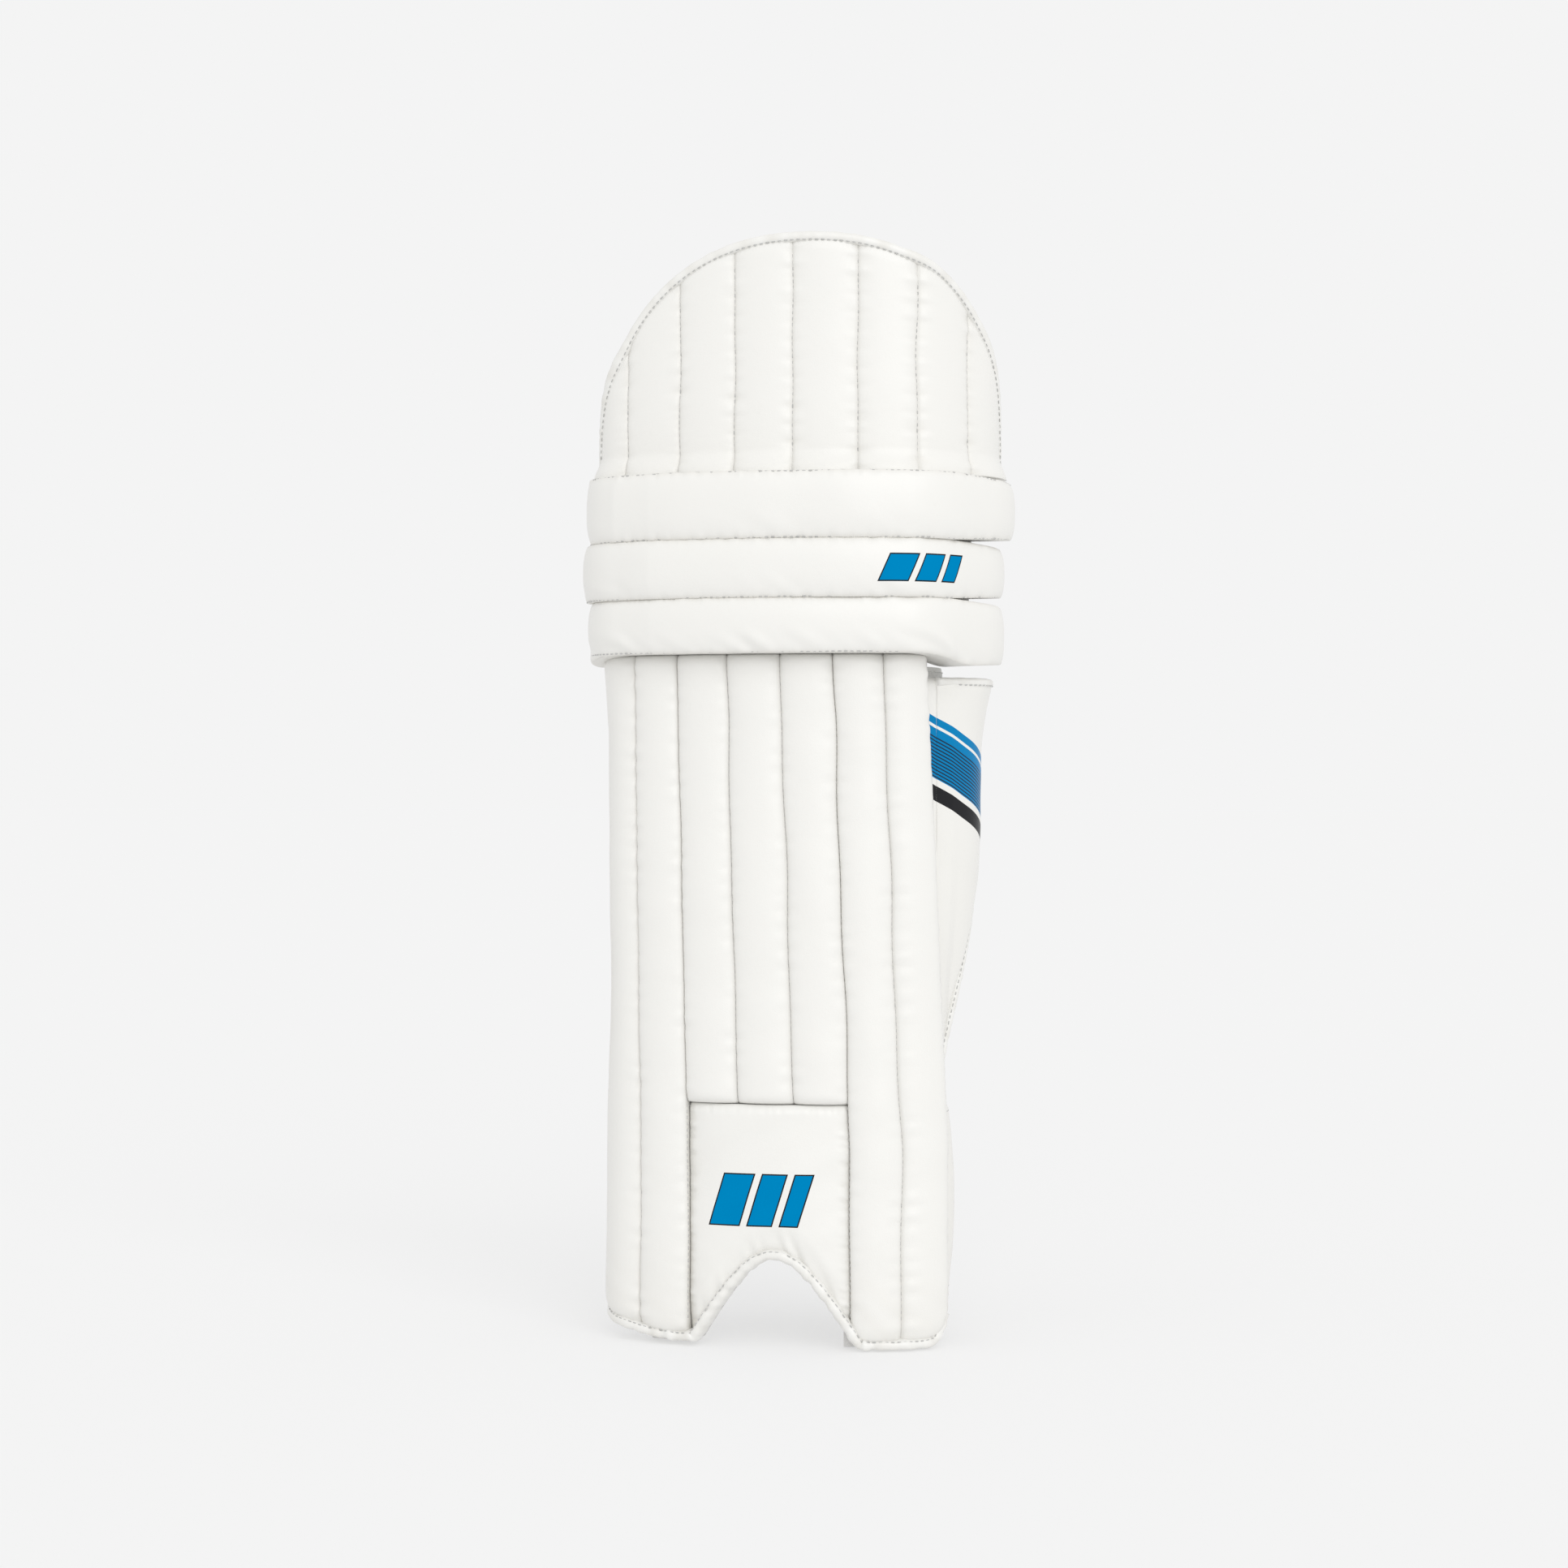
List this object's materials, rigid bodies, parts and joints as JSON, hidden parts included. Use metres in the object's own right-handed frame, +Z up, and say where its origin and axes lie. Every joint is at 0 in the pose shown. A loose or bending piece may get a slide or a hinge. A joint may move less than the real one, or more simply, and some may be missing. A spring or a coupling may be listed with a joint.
{
  "type": "cricket leg pad",
  "caption": "Padded batting leg guard: channelled shin panel, horizontal knee rolls, domed top hat, outer side wing and hook-and-loop leg straps.",
  "frame": {"origin": "centre of the pad's box, at the height of the flat ends it stands on", "axes": "+Z up the shin towards the top hat, -Y the way the padded front faces, +X the outer side of the wearer's leg, with the wing"},
  "size_m": [0.2822, 0.1709, 0.72],
  "materials": {
    "white_leather": "smooth white coated leather, satin",
    "white_binding": "folded white coated edge binding, satin",
    "foam": "cream high-density foam",
    "cotton_filling": "cotton and fibre stuffing in a plain cover",
    "split_cane": "plain split cane",
    "lining_fabric": "pale grey woven lining",
    "strap_webbing": "white woven strap with stitched edges",
    "hook_and_loop": "white hook and loop tape"
  },
  "bodies": {
    "shin": {"shin_cover": "white_leather", "shin_lining": "lining_fabric", "shin_backing_foam": "foam", "shin_filling_1": "cotton_filling", "shin_filling_2": "cotton_filling", "shin_filling_3": "cotton_filling", "shin_filling_4": "cotton_filling", "shin_filling_5": "cotton_filling", "shin_filling_6": "cotton_filling", "shin_filling_7": "cotton_filling", "shin_cane_1": "split_cane", "shin_cane_2": "split_cane", "shin_cane_3": "split_cane", "shin_cane_4": "split_cane", "shin_cane_5": "split_cane", "shin_cane_6": "split_cane", "shin_cane_7": "split_cane", "instep_cover": "white_leather", "instep_foam": "foam", "arch_binding": "white_binding", "inner_toe_binding": "white_binding", "outer_toe_binding": "white_binding", "inner_bolster": "lining_fabric", "outer_bolster": "lining_fabric", "inner_wing": "white_leather", "inner_ankle_flap": "white_leather", "outer_ankle_flap": "white_leather", "knee_strap_loop_patch": "hook_and_loop", "calf_strap_loop_patch": "hook_and_loop", "ankle_strap_loop_patch": "hook_and_loop"},
    "lower_roll": {"lower_roll_cover": "white_leather", "lower_roll_core": "cotton_filling", "lower_roll_backing": "lining_fabric", "lower_knee_pad": "lining_fabric"},
    "middle_roll": {"middle_roll_cover": "white_leather", "middle_roll_core": "cotton_filling", "middle_roll_backing": "lining_fabric", "knee_cup": "lining_fabric"},
    "upper_roll": {"upper_roll_cover": "white_leather", "upper_roll_core": "cotton_filling", "upper_roll_backing": "lining_fabric", "upper_knee_pad": "lining_fabric"},
    "top_hat": {"top_hat_cover": "white_leather", "top_hat_foam": "foam", "top_hat_lining": "lining_fabric", "top_hat_binding": "white_binding"},
    "outer_wing": {"outer_wing_lining": "lining_fabric", "outer_wing_foam": "foam", "outer_wing_cover": "white_leather", "outer_wing_binding": "white_binding"},
    "knee_strap": {"knee_strap": "strap_webbing", "knee_strap_hook_tape": "hook_and_loop"},
    "calf_strap": {"calf_strap": "strap_webbing", "calf_strap_hook_tape": "hook_and_loop"},
    "ankle_strap": {"ankle_strap": "strap_webbing", "ankle_strap_hook_tape": "hook_and_loop"}
  },
  "joints": [
    {"name": "lower_roll_bend", "type": "hinge", "parent": "shin", "child": "lower_roll", "pos_m": [-0.01387, -0.02302, 0.445], "axis": [-1, 0, 0], "range_deg": [0, 10], "stiffness_Nm_per_rad": 8},
    {"name": "middle_roll_bend", "type": "hinge", "parent": "lower_roll", "child": "middle_roll", "pos_m": [-0.01387, -0.02302, 0.48], "axis": [-1, 0, 0], "range_deg": [0, 10], "stiffness_Nm_per_rad": 8},
    {"name": "upper_roll_bend", "type": "hinge", "parent": "middle_roll", "child": "upper_roll", "pos_m": [-0.01387, -0.02302, 0.5175], "axis": [-1, 0, 0], "range_deg": [0, 10], "stiffness_Nm_per_rad": 8},
    {"name": "top_hat_bend", "type": "hinge", "parent": "upper_roll", "child": "top_hat", "pos_m": [-0.01387, -0.02302, 0.5605], "axis": [-1, 0, 0], "range_deg": [0, 10], "stiffness_Nm_per_rad": 8},
    {"name": "outer_wing_fold", "type": "hinge", "parent": "shin", "child": "outer_wing", "pos_m": [0.09789, -0.02084, 0.193], "axis": [0, 0, -1], "range_deg": [0, 25], "stiffness_Nm_per_rad": 1.5},
    {"name": "knee_strap_swing", "type": "hinge", "parent": "shin", "child": "knee_strap", "pos_m": [-0.1221, 0.0264, 0.396], "axis": [0, 0, 1], "range_deg": [0, 110]},
    {"name": "calf_strap_swing", "type": "hinge", "parent": "shin", "child": "calf_strap", "pos_m": [-0.1221, 0.0264, 0.254], "axis": [0, 0, 1], "range_deg": [0, 110]},
    {"name": "ankle_strap_swing", "type": "hinge", "parent": "shin", "child": "ankle_strap", "pos_m": [-0.11466, 0.02874, 0.08], "axis": [0, 0, 1], "range_deg": [0, 110]}
  ]
}
